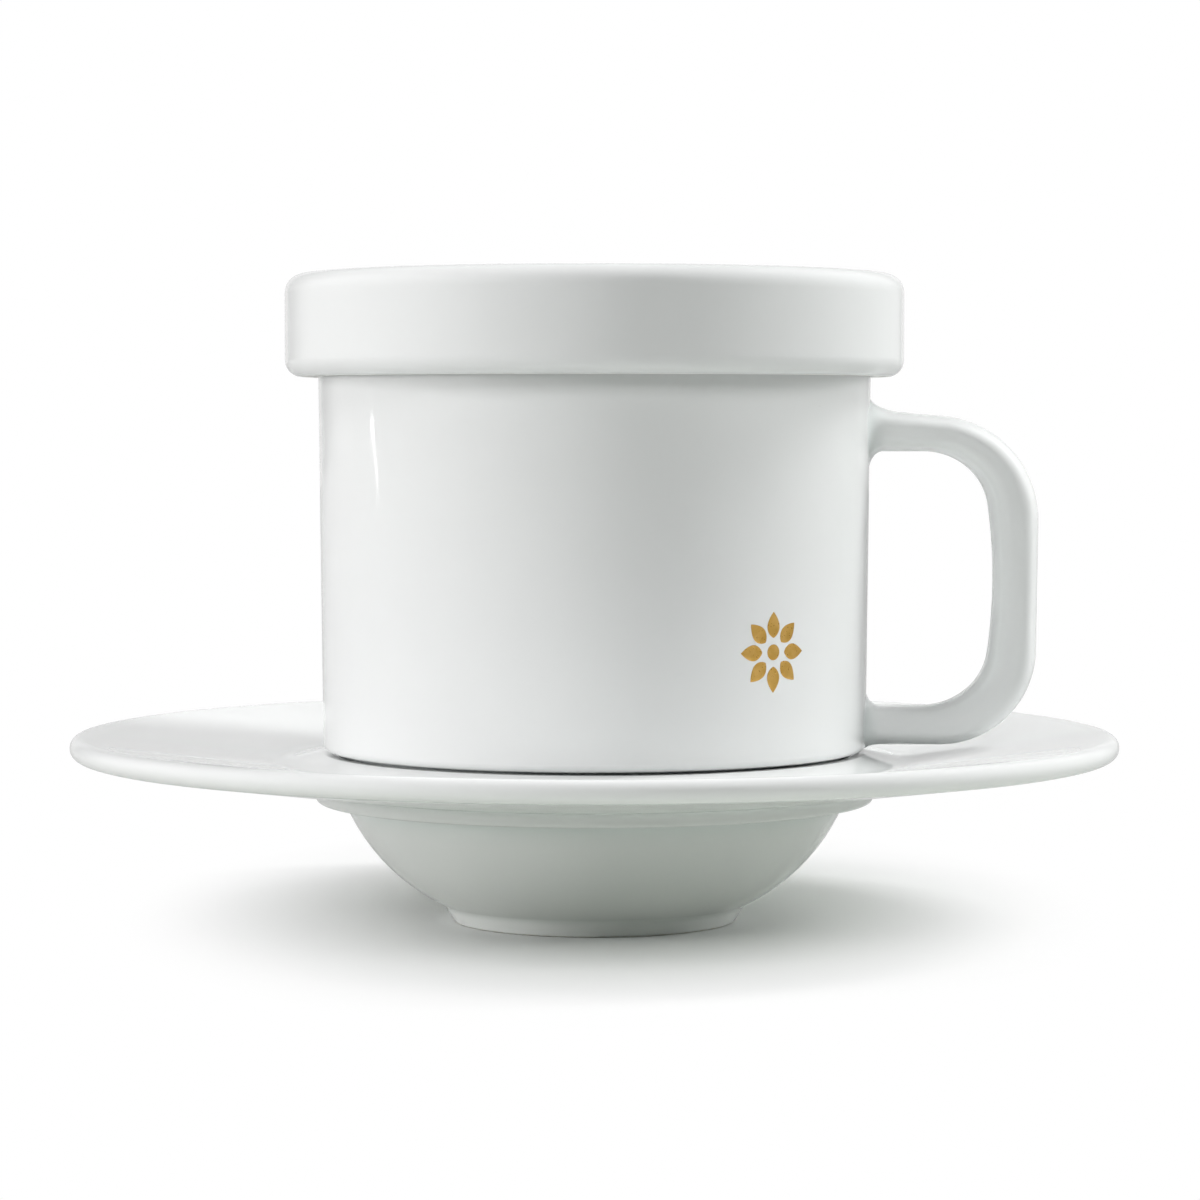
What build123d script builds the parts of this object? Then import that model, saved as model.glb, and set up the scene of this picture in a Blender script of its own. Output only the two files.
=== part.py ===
from build123d import *
from math import asin, atan2, cos, hypot, radians, sin, tan
import os

# A lidded porcelain teacup standing in the seat of its saucer, in millimetres.
# The origin is on the axis of the saucer, at the table. The cup's handle points along +X.

# Saucer
saucer_r = 76.2
saucer_height = 27.6
flange_wall = 3.2
valley_width = 6
valley_round = 9
step_underside = 17.65
step_height = 1.97
step_width = 4.1
step_edge_round = 0.7
step_root_round = 1.2
bowl_wall = 3.6
bowl_curve_r = 29
bowl_neck_r = 22.1
bowl_floor_wall = 3.6
bowl_floor_round = 6
foot_r = 20.6
foot_height = 2.4
foot_width = 3.4
foot_recess = 1.9
foot_round = 0.6

# Seat of the cup, a recess inside the saucer's collar
seat_wall = 3.5
seat_floor_wall = 3.6
seat_depth = 3.5
collar_width = 2.4
collar_round = 1.1
seat_corner_round = 0.6

# Cup
cup_height = 69.2
cup_rim_r = 40.3
cup_base_r = 39.6
cup_wall = 3.4
cup_rim_round = 1.3
cup_floor_wall = 4
cup_floor_round = 7
cup_edge_round = 1
cup_step_width = 3.1
cup_foot_clearance = 0.7
cup_foot_width = 3.2
cup_foot_recess = 1.6
cup_foot_round = 0.5
cup_step_round = 1
collar_clearance = 0.35

# Lid
lid_wall = 3.5
lid_top_wall = 3.8
lid_height = 14.85
lid_clearance = 1.2
lid_top_round = 2.7
lid_edge_round = 2.4
lid_inner_round = 1
lid_ceiling_round = 2

# Handle
handle_reach = 24.5
handle_depth = 11
handle_bottom_gap = 0.6
handle_loop_height = 37.2
handle_top_bar = 6.3
handle_top_drop = 2.2
handle_bottom_bar = 5.8
handle_grip_bar = 5.9
handle_outer_round = 15.2
handle_inner_round = 10.4
handle_section_round = 2.4
handle_root_round = 2
slip_film = 0.05

# Gilding
rosette_turn_degrees = 38.5
rosette_height = 16
rosette_petals = 8
rosette_r = 5.6
petal_length = 3.6
petal_width = 2.1
rosette_eye_r = 1.1
gilt_thickness = 0.12

# A cut or a blank reaches this far past what it cuts or meets.
overrun = 4

# A round takes at most this share of the wall that it eats into.
step_edge_round_share = 0.36
step_root_round_share = 0.62
lid_edge_round_share = 0.69
lid_inner_round_share = 0.29
handle_section_round_share = 0.42

os.makedirs("parts", exist_ok=True)


def round_corners(outline, rounds):
    """Rounds the corners of a sketch that lie at the given points, each by its own radius."""
    for corner, radius in rounds:
        fillet(outline.vertices().sort_by_distance(corner)[0], radius)


# Heights shared by the pieces
seat_floor = step_underside + seat_floor_wall
collar_top = seat_floor + seat_depth
cup_step = collar_top + collar_clearance
cup_rim = seat_floor + cup_height
lid_bottom = cup_rim + lid_top_wall - lid_height

# Radii shared by the pieces: the cup's foot sets the seat, and the seat sets the saucer round it.
cup_foot_r = cup_base_r - cup_step_width
seat_r = cup_foot_r + cup_foot_clearance
step_r = seat_r + seat_wall
collar_r = seat_r + collar_width
valley_r = collar_r + valley_width
bowl_mouth_r = step_r - step_width
lid_bore_r = cup_rim_r + lid_clearance
lid_r = lid_bore_r + lid_wall


# Saucer: the flange is a cone of even thickness that rises from the step to a full round lip.
lip_round = flange_wall / 2
lip_r = saucer_r - lip_round
lip_height = saucer_height - lip_round
flange_root = (step_r, step_underside + step_height)
flange_run = lip_r - flange_root[0]
flange_rise = lip_height - flange_root[1]
tilt = atan2(flange_rise, flange_run) - asin(lip_round / hypot(flange_run, flange_rise))
lip_low = (lip_r + lip_round * sin(tilt), lip_height - lip_round * cos(tilt))
lip_tip = (lip_r + lip_round * cos(tilt), lip_height + lip_round * sin(tilt))
lip_high = (lip_r - lip_round * sin(tilt), lip_height + lip_round * cos(tilt))
valley = (valley_r, lip_high[1] - (lip_high[0] - valley_r) * tan(tilt))
step_edge = (step_r, step_underside)
bowl_mouth = (bowl_mouth_r, step_underside)
bowl_neck = (bowl_neck_r, foot_height)
foot_outer = (foot_r, 0)
foot_inner = (foot_r - foot_width, 0)
foot_hollow = (foot_r - foot_width, foot_recess)
collar_outer = (collar_r, collar_top)
collar_inner = (seat_r, collar_top)
seat_corner = (seat_r, seat_floor)
bowl_lip = (bowl_mouth_r - bowl_wall, seat_floor)
bowl_floor = foot_recess + bowl_floor_wall
bowl_floor_corner = (bowl_neck_r - bowl_wall / 2, bowl_floor)

with BuildPart() as saucer:
    with BuildSketch(Plane.XZ) as saucer_profile:
        with BuildLine():
            Polyline((0, bowl_floor), (0, foot_recess), foot_hollow, foot_inner, foot_outer, bowl_neck)
            RadiusArc(bowl_neck, bowl_mouth, -bowl_curve_r)
            Polyline(bowl_mouth, step_edge, flange_root, lip_low)
            ThreePointArc(lip_low, lip_tip, lip_high)
            Polyline(lip_high, valley, collar_outer, collar_inner, seat_corner, bowl_lip)
            RadiusArc(bowl_lip, bowl_floor_corner, bowl_curve_r - bowl_wall)
            Line(bowl_floor_corner, (0, bowl_floor))
        make_face()
        round_corners(
            saucer_profile,
            [
                (foot_hollow, foot_round),
                (foot_inner, foot_round),
                (foot_outer, foot_round),
                (bowl_neck, foot_round),
                (bowl_mouth, step_edge_round),
                (step_edge, min(step_edge_round, step_edge_round_share * step_height)),
                (flange_root, min(step_root_round, step_root_round_share * step_height)),
                (valley, valley_round),
                (collar_outer, collar_round),
                (collar_inner, collar_round),
                (seat_corner, seat_corner_round),
                (bowl_lip, collar_round),
                (bowl_floor_corner, bowl_floor_round),
            ],
        )
    revolve(axis=Axis.Z)
saucer.part.label = "saucer"
export_step(saucer.part, "parts/saucer.step")


# Cup: the step above its foot covers the collar, and the foot stands on the seat.
rim_outer = (cup_rim_r, cup_rim)
rim_inner = (cup_rim_r - cup_wall, cup_rim)
cup_floor = seat_floor + cup_foot_recess + cup_floor_wall
cup_floor_corner = (cup_base_r - cup_wall, cup_floor)
cup_edge = (cup_base_r, cup_step)
cup_step_corner = (cup_foot_r, cup_step)
cup_foot_outer = (cup_foot_r, seat_floor)
cup_foot_inner = (cup_foot_r - cup_foot_width, seat_floor)
cup_foot_hollow = (cup_foot_r - cup_foot_width, seat_floor + cup_foot_recess)

with BuildPart() as cup_body:
    with BuildSketch(Plane.XZ) as cup_profile:
        with BuildLine():
            Polyline(
                (0, cup_floor),
                (0, seat_floor + cup_foot_recess),
                cup_foot_hollow,
                cup_foot_inner,
                cup_foot_outer,
                cup_step_corner,
                cup_edge,
                rim_outer,
                rim_inner,
                cup_floor_corner,
                close=True,
            )
        make_face()
        round_corners(
            cup_profile,
            [
                (cup_foot_hollow, cup_foot_round),
                (cup_foot_inner, cup_foot_round),
                (cup_foot_outer, cup_foot_round),
                (cup_step_corner, cup_step_round),
                (cup_edge, cup_edge_round),
                (rim_outer, cup_rim_round),
                (rim_inner, cup_rim_round),
                (cup_floor_corner, cup_floor_round),
            ],
        )
    revolve(axis=Axis.Z)
cup_body.part.label = "cup_body"
export_step(cup_body.part, "parts/cup_body.step")


# Lid: a flat cap whose ceiling rests on the cup's rim.
lid_top = cup_rim + lid_top_wall
lid_shoulder = (lid_r, lid_top)
lid_edge_outer = (lid_r, lid_bottom)
lid_edge_inner = (lid_bore_r, lid_bottom)
lid_ceiling_corner = (lid_bore_r, cup_rim)

with BuildPart() as lid:
    with BuildSketch(Plane.XZ) as lid_profile:
        with BuildLine():
            Polyline(
                (0, lid_top),
                (0, cup_rim),
                lid_ceiling_corner,
                lid_edge_inner,
                lid_edge_outer,
                lid_shoulder,
                close=True,
            )
        make_face()
        round_corners(
            lid_profile,
            [
                (lid_ceiling_corner, lid_ceiling_round),
                (lid_edge_inner, min(lid_inner_round, lid_inner_round_share * lid_wall)),
                (lid_edge_outer, min(lid_edge_round, lid_edge_round_share * lid_wall)),
                (lid_shoulder, lid_top_round),
            ],
        )
    revolve(axis=Axis.Z)
lid.part.label = "lid"
export_step(lid.part, "parts/lid.step")


# Handle: a rounded loop, flared where it meets the cup's wall and trimmed level with the cup's step.
wall_slope = (cup_rim_r - cup_base_r) / (cup_rim - cup_step)
handle_r = cup_base_r + handle_reach
loop_low = cup_step + handle_bottom_gap
opening_low = loop_low + handle_bottom_bar
opening_high = opening_low + handle_loop_height
loop_high = opening_high + handle_top_bar
root_r = cup_base_r - overrun
grip_r = handle_r - handle_grip_bar
loop_corner_low = (handle_r, loop_low)
loop_corner_high = (handle_r, loop_high - handle_top_drop)
opening_corner_low = (grip_r, opening_low)
opening_corner_high = (grip_r, opening_high)
thinnest_bar = min(handle_top_bar, handle_bottom_bar, handle_grip_bar, handle_depth)
section_round = min(handle_section_round, handle_section_round_share * thinnest_bar)


def wall_form(film):
    """Half section of the cup's outer wall as a solid form, stood off by a film and longer below."""
    low = cup_step - overrun
    low_r = cup_base_r - wall_slope * overrun + film
    return [(0, low), (low_r, low), (cup_rim_r + film, cup_rim), (0, cup_rim)]


with BuildPart() as cup_handle:
    with BuildSketch(Plane.XZ) as loop_outline:
        with BuildLine():
            Polyline((root_r, loop_low), loop_corner_low, loop_corner_high, (root_r, loop_high), close=True)
        make_face()
        round_corners(
            loop_outline,
            [(loop_corner_low, handle_outer_round), (loop_corner_high, handle_outer_round)],
        )
    extrude(amount=handle_depth / 2, both=True)
    with BuildSketch(Plane.XZ) as loop_opening:
        with BuildLine():
            Polyline(
                (root_r - overrun, opening_low),
                opening_corner_low,
                opening_corner_high,
                (root_r - overrun, opening_high),
                close=True,
            )
        make_face()
        round_corners(
            loop_opening,
            [(opening_corner_low, handle_inner_round), (opening_corner_high, handle_inner_round)],
        )
    extrude(amount=handle_depth, both=True, mode=Mode.SUBTRACT)
    fillet(cup_handle.faces().filter_by(Axis.Y).edges(), section_round)
    with BuildSketch(Plane.XZ):
        with BuildLine():
            Polyline(wall_form(0), close=True)
        make_face()
    revolve(axis=Axis.Z)
    fillet(cup_handle.edges(Select.NEW), handle_root_round)
    with BuildSketch(Plane.XZ):
        with BuildLine():
            Polyline(wall_form(slip_film), close=True)
        make_face()
    revolve(axis=Axis.Z, mode=Mode.SUBTRACT)
    split(bisect_by=Plane.XY.offset(cup_step), keep=Keep.TOP)
cup_handle.part.label = "cup_handle"
export_step(cup_handle.part, "parts/cup_handle.step")


# Gilding: a rosette of petals round an eye, as a thin layer on the cup's wall.
rosette_z = cup_step + rosette_height
rosette_wall_r = cup_base_r + wall_slope * rosette_height
rosette_turn = radians(rosette_turn_degrees)
rosette_out = Vector(sin(rosette_turn), -cos(rosette_turn), 0)
rosette_plane = Plane(
    origin=rosette_out * rosette_wall_r + Vector(0, 0, rosette_z),
    x_dir=Vector(cos(rosette_turn), sin(rosette_turn), 0),
    z_dir=rosette_out,
)
gilt_low = rosette_height - rosette_r - overrun
gilt_high = rosette_height + rosette_r + overrun

with BuildPart() as gilt_rosette:
    with BuildSketch(rosette_plane):
        Circle(rosette_eye_r)
        with PolarLocations(rosette_r - petal_length / 2, rosette_petals):
            Ellipse(petal_length / 2, petal_width / 2)
    extrude(amount=overrun, both=True)
    with BuildSketch(Plane.XZ):
        with BuildLine():
            Polyline(
                (cup_base_r + wall_slope * gilt_low, cup_step + gilt_low),
                (cup_base_r + wall_slope * gilt_low + gilt_thickness, cup_step + gilt_low),
                (cup_base_r + wall_slope * gilt_high + gilt_thickness, cup_step + gilt_high),
                (cup_base_r + wall_slope * gilt_high, cup_step + gilt_high),
                close=True,
            )
        make_face()
    revolve(axis=Axis.Z, mode=Mode.INTERSECT)
gilt_rosette.part.label = "gilt_rosette"
export_step(gilt_rosette.part, "parts/gilt_rosette.step")
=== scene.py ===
"""Looks of a lidded porcelain teacup on its saucer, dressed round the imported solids.

Lengths are metres in the frame of the solids: +Z up, the cup's handle along +X, the table at z = 0.
"""

import logging
import math
from dataclasses import dataclass
from enum import Enum

import bpy
import numpy as np
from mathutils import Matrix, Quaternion, Vector


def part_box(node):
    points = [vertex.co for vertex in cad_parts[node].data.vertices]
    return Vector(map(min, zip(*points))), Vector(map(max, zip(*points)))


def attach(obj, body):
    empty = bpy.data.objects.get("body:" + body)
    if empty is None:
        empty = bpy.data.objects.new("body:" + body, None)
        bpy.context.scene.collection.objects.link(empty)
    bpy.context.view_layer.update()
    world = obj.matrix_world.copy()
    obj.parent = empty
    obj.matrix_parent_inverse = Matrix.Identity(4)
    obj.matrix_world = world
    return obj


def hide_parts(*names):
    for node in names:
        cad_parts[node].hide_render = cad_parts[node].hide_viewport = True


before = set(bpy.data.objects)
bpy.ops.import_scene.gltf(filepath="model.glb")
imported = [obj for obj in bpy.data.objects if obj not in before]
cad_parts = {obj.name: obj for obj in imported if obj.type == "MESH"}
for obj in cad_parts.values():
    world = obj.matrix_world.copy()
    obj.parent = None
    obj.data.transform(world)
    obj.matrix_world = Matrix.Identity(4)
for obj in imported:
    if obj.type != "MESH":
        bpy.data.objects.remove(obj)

Array = np.ndarray
Colour = tuple[float, float, float]
Point = tuple[float, float, float]
Piece = bpy.types.Object
Material = bpy.types.Material
Tree = bpy.types.NodeTree
Socket = bpy.types.NodeSocket

LOG = logging.getLogger("teacup")
WHITE: Colour = (1.0, 1.0, 1.0)

# Fineness of the meshes: points round a turned piece, and points and distances along an outline
TURNS = 384
SECTION_STEP = 0.002
BEND_POINTS = 6
ARC_POINTS = 7
STRAIGHT_POINTS = 3
HOLD = 0.0002
HELD_LENGTH = 4.0 * HOLD
SAME_PLACE = 1e-9

# Distance between nodes in a tree, and the values that Blender's noise mostly keeps to
NODE_SPACING = 220.0
NOISE_RANGE = (0.3, 0.7)


class Body(Enum):
    """The moving bodies of the solids."""

    SAUCER = "saucer"
    CUP = "cup"
    LID = "lid"


class Slot(Enum):
    """The record's material slots."""

    PORCELAIN = "white_porcelain"
    GILDING = "gilding"


class Mark(Enum):
    """Surface marks that a mesh carries for its finish, each from 0 to 1."""

    POOLED = "pooled"
    BARE = "bare"


class MixKind(Enum):
    """What a Mix node mixes: its data type, and its two inputs and its output by socket number."""

    NUMBER = ("FLOAT", 2, 3, 0)
    COLOUR = ("RGBA", 6, 7, 2)


@dataclass(frozen=True)
class Corner:
    """A corner of an outline: its place, the radius that rounds it, and the arc that leaves it.

    A leaving radius of 0 is a straight stretch. A positive one bulges to the left of the way it runs.
    """

    across: float
    up: float
    round: float = 0.0
    leaving: float = 0.0


class Stretch:
    """A straight or round stretch of an outline, followed by its length."""

    def __init__(self, start: Corner, end: Corner) -> None:
        """Works out the chord, and for a round stretch its centre and its angles.

        Args:
            start: corner that the stretch leaves, with the radius of the arc.
            end: corner that it reaches.
        """
        self.start = np.array([start.across, start.up])
        chord = np.array([end.across, end.up]) - self.start
        span = float(np.hypot(*chord))
        self.along = chord / span
        self.radius = start.leaving
        self.length = span
        if self.radius:
            left = np.array([-self.along[1], self.along[0]])
            sine = span / (2.0 * self.radius)
            rise = self.radius * math.sqrt(1.0 - sine * sine)
            self.centre = self.start + chord / 2.0 - left * rise
            spoke = self.start - self.centre
            self.angle = math.atan2(spoke[1], spoke[0])
            self.length = abs(self.radius) * 2.0 * math.asin(abs(sine))

    def at(self, length: Array) -> Array:
        """Points on the stretch: start plus length times direction, or the turned spoke of the arc.

        Args:
            length: lengths from the start.

        Returns:
            Array of points, one a length.
        """
        if not self.radius:
            return self.start + length[:, None] * self.along
        turned = self.angle - length / self.radius
        return self.centre + abs(self.radius) * np.stack([np.cos(turned), np.sin(turned)], axis=1)

    def heading(self, length: float) -> Array:
        """Unit direction on the stretch, the tangent of the line or of the arc.

        Args:
            length: length from the start.

        Returns:
            The direction there.
        """
        if not self.radius:
            return self.along
        turned = self.angle - length / self.radius
        side = math.copysign(1.0, self.radius)
        return side * np.array([math.sin(turned), -math.cos(turned)])


def turn_between(first: Array, second: Array) -> float:
    """Angle between two unit directions, the arc cosine of their product."""
    return math.acos(max(-1.0, min(1.0, float(first @ second))))


def bend(start: Array, start_heading: Array, end: Array, end_heading: Array, count: int) -> Array:
    """Points inside a round corner, on the cubic curve that stands for a circular arc.

    The handles of the curve are 4/3 of the tangent of a quarter of the turn, times the arc's radius.

    Args:
        start: point where the curve leaves the first stretch.
        start_heading: unit direction there.
        end: point where it joins the second stretch.
        end_heading: unit direction there.
        count: number of points between the two ends.

    Returns:
        Array of count points.
    """
    turn = turn_between(start_heading, end_heading)
    radius = float(np.hypot(*(end - start))) / (2.0 * math.sin(turn / 2.0))
    reach = 4.0 / 3.0 * math.tan(turn / 4.0) * radius
    t = np.linspace(0.0, 1.0, count + 2)[1:-1, None]
    first = start + reach * start_heading
    second = end - reach * end_heading
    near = (1.0 - t) ** 3 * start + 3.0 * (1.0 - t) ** 2 * t * first
    return near + 3.0 * (1.0 - t) * t * t * second + t**3 * end


def held_lengths(low: float, high: float, count: int, bent: tuple[bool, bool]) -> Array:
    """Even lengths along a stretch, with one more held close to each end that meets a round corner.

    The held ones keep the stretch straight in the shading up to the round. A short stretch has none.

    Args:
        low: length where the stretch starts.
        high: length where it ends.
        count: number of even lengths.
        bent: whether a round corner meets its start and its end.

    Returns:
        Array of lengths in order.
    """
    even = np.linspace(low, high, count)
    if high - low <= HELD_LENGTH:
        return even
    held = np.array([low + HOLD, high - HOLD])[list(bent)]
    return np.sort(np.concatenate([even, held]))


def outline(
    corners: list[Corner],
    step: float = SECTION_STEP,
    bend_points: int = BEND_POINTS,
    counts: tuple[int, ...] = (),
) -> Array:
    """An outline through corners, each rounded by its own radius.

    A corner of radius r and turn a cuts r times the tangent of a / 2 from both stretches beside it.

    Args:
        corners: corners in order.
        step: longest distance between points on a stretch, which also has a fewest number of points.
        bend_points: points inside each rounded corner.
        counts: points of each stretch, where they are fixed.

    Returns:
        Array of points, one (across, up) pair a row.
    """
    stretches = [Stretch(a, b) for a, b in zip(corners, corners[1:])]
    cuts = [0.0]
    for before, after, corner in zip(stretches, stretches[1:], corners[1:]):
        turn = turn_between(before.heading(before.length), after.heading(0.0))
        cuts.append(corner.round * math.tan(turn / 2.0))
    cuts.append(0.0)
    rows = []
    for i, stretch in enumerate(stretches):
        low = cuts[i]
        cut = cuts[i + 1]
        high = stretch.length - cut
        if counts:
            along = np.linspace(low, high, counts[i])
        else:
            fewest = ARC_POINTS if stretch.radius else STRAIGHT_POINTS
            count = max(fewest, math.ceil((high - low) / step) + 1)
            along = held_lengths(low, high, count, (low > 0.0, cut > 0.0))
        rows.append(stretch.at(along))
        if cut > 0.0:
            after = stretches[i + 1]
            entry = after.at(np.array([cut]))[0]
            rows.append(bend(rows[-1][-1], stretch.heading(high), entry, after.heading(cut), bend_points))
    points = np.concatenate(rows)
    keep = np.ones(len(points), dtype=bool)
    keep[1:] = np.hypot(*(points[1:] - points[:-1]).T) > SAME_PLACE
    return points[keep]


def smooth_step(low: float, high: float, value: Array) -> Array:
    """0 below low, 1 above high, and 3 t squared minus 2 t cubed between them."""
    t = np.clip((value - low) / (high - low), 0.0, 1.0)
    return t * t * (3.0 - 2.0 * t)


def bare_tread(height: Array, glaze_line: float) -> Array:
    """Share of bare clay over a tread: 1 up to half the height of the glaze line, and 0 from the line."""
    return 1.0 - smooth_step(glaze_line / 2.0, glaze_line, height)


def pooled_glaze(section: Array, reach: float = 0.0016) -> Array:
    """How far glaze pools at each point of a section, from its hollow curvature.

    The turn to the left at each point, a hollow, is spread over a bell of the given reach along the
    section, and one radian of turn within that reach counts as a full pool.

    Args:
        section: points of the section, run so that hollows turn left.
        reach: width of the bell.

    Returns:
        Array of shares from 0 to 1, one a point.
    """
    edge = np.diff(section, axis=0)
    size = np.hypot(edge[:, 0], edge[:, 1])
    along = np.concatenate([[0.0], np.cumsum(size)])
    heading = np.unwrap(np.arctan2(edge[:, 1], edge[:, 0]))
    turn = np.zeros(len(section))
    turn[1:-1] = np.diff(heading)
    bell = np.exp(-0.5 * ((along[:, None] - along[None, :]) / reach) ** 2)
    return np.clip(bell @ turn, 0.0, 1.0)


def put_mesh(
    name: str, vertices: Array, quads: Array, triangles: Array, marks: dict[Mark, Array]
) -> Piece:
    """Makes a smooth mesh object at the origin from arrays, with its marks as point attributes.

    Args:
        name: name of the piece.
        vertices: rows of (x, y, z).
        quads: rows of four vertex numbers.
        triangles: rows of three vertex numbers.
        marks: values for each mark, one a vertex. A mark that is left out is 0.

    Returns:
        The new object.
    """
    mesh = bpy.data.meshes.new(name)
    mesh.from_pydata(vertices.tolist(), [], quads.tolist() + triangles.tolist())
    mesh.polygons.foreach_set("use_smooth", np.ones(len(mesh.polygons), dtype=bool))
    for mark in Mark:
        values = marks.get(mark, np.zeros(len(vertices)))
        layer = mesh.attributes.new(mark.value, "FLOAT", "POINT")
        layer.data.foreach_set("value", values.astype(np.float32))
    mesh.update()
    piece = bpy.data.objects.new(name, mesh)
    bpy.context.scene.collection.objects.link(piece)
    return piece


def ring_quads(rows: int, columns: int) -> Array:
    """Quads between neighbouring closed rings: (i, j), (i+1, j), (i+1, j+1), (i, j+1), j round the ring.

    Args:
        rows: number of rings.
        columns: points round each ring.

    Returns:
        Rows of four vertex numbers.
    """
    i, j = np.meshgrid(np.arange(rows - 1), np.arange(columns), indexing="ij")
    k = (j + 1) % columns
    corners = (i * columns + j, (i + 1) * columns + j, (i + 1) * columns + k, i * columns + k)
    return np.stack(corners, axis=-1).reshape(-1, 4)


def pole_triangles(rows: int, columns: int) -> Array:
    """Triangles that close the first and the last of the rings at two poles, numbered after the rings.

    Args:
        rows: number of rings.
        columns: points round each ring.

    Returns:
        Rows of three vertex numbers.
    """
    j = np.arange(columns)
    k = (j + 1) % columns
    count = rows * columns
    end = count - columns
    first = np.stack([np.full(columns, count), j, k], axis=1)
    last = np.stack([np.full(columns, count + 1), end + k, end + j], axis=1)
    return np.concatenate([first, last])


def turned_piece(name: str, section: Array, bare: Array) -> Piece:
    """A closed surface of revolution about Z.

    Vertex (i, j) is the section's point i, (r, z), at the angle 2 pi j / TURNS: (r cos, r sin, z). The
    section runs from the axis on top, out and down to the axis below, and both ends become poles.

    Args:
        name: name of the piece.
        section: points (r, z), the first and last on the axis.
        bare: share of bare body at each point of the section.

    Returns:
        The new object.
    """
    rings = section[1:-1]
    angle = np.arange(TURNS) * (2.0 * math.pi / TURNS)
    x = rings[:, :1] * np.cos(angle)
    y = rings[:, :1] * np.sin(angle)
    z = np.broadcast_to(rings[:, 1:], x.shape)
    grid = np.stack([x, y, z], axis=-1).reshape(-1, 3)
    poles = np.array([[0.0, 0.0, section[0, 1]], [0.0, 0.0, section[-1, 1]]])
    marks = {}
    for mark, share in ((Mark.POOLED, pooled_glaze(section)), (Mark.BARE, bare)):
        marks[mark] = np.concatenate([np.repeat(share[1:-1], TURNS), share[[0, -1]]])
    vertices = np.concatenate([grid, poles])
    return put_mesh(name, vertices, ring_quads(len(rings), TURNS), pole_triangles(len(rings), TURNS), marks)


def outward(vertices: Array, quads: Array, triangles: Array) -> tuple[Array, Array]:
    """Turns all faces over if the mesh is inside out.

    The volume is a sixth of the sum of a . (b x c) over the triangles, and is negative inside out.

    Args:
        vertices: rows of (x, y, z).
        quads: rows of four vertex numbers.
        triangles: rows of three vertex numbers.

    Returns:
        The quads and triangles, facing outwards.
    """
    split = np.concatenate([quads[:, [0, 1, 2]], quads[:, [0, 2, 3]], triangles])
    a, b, c = (vertices[split[:, n]] for n in range(3))
    if np.einsum("ij,ij->i", a, np.cross(b, c)).sum() < 0.0:
        return quads[:, ::-1], triangles[:, ::-1]
    return quads, triangles


def tube_mesh(rings: Array) -> tuple[Array, Array, Array]:
    """A closed tube through rings of points, each end closed at the middle of its ring.

    Args:
        rings: array of (station, point round the ring, xyz).

    Returns:
        The vertices with the two middles last, the quads and the triangles.
    """
    rows, columns = rings.shape[:2]
    vertices = np.concatenate([rings.reshape(-1, 3), rings[[0, -1]].mean(axis=1)])
    faces = outward(vertices, ring_quads(rows, columns), pole_triangles(rows, columns))
    return vertices, *faces


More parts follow.
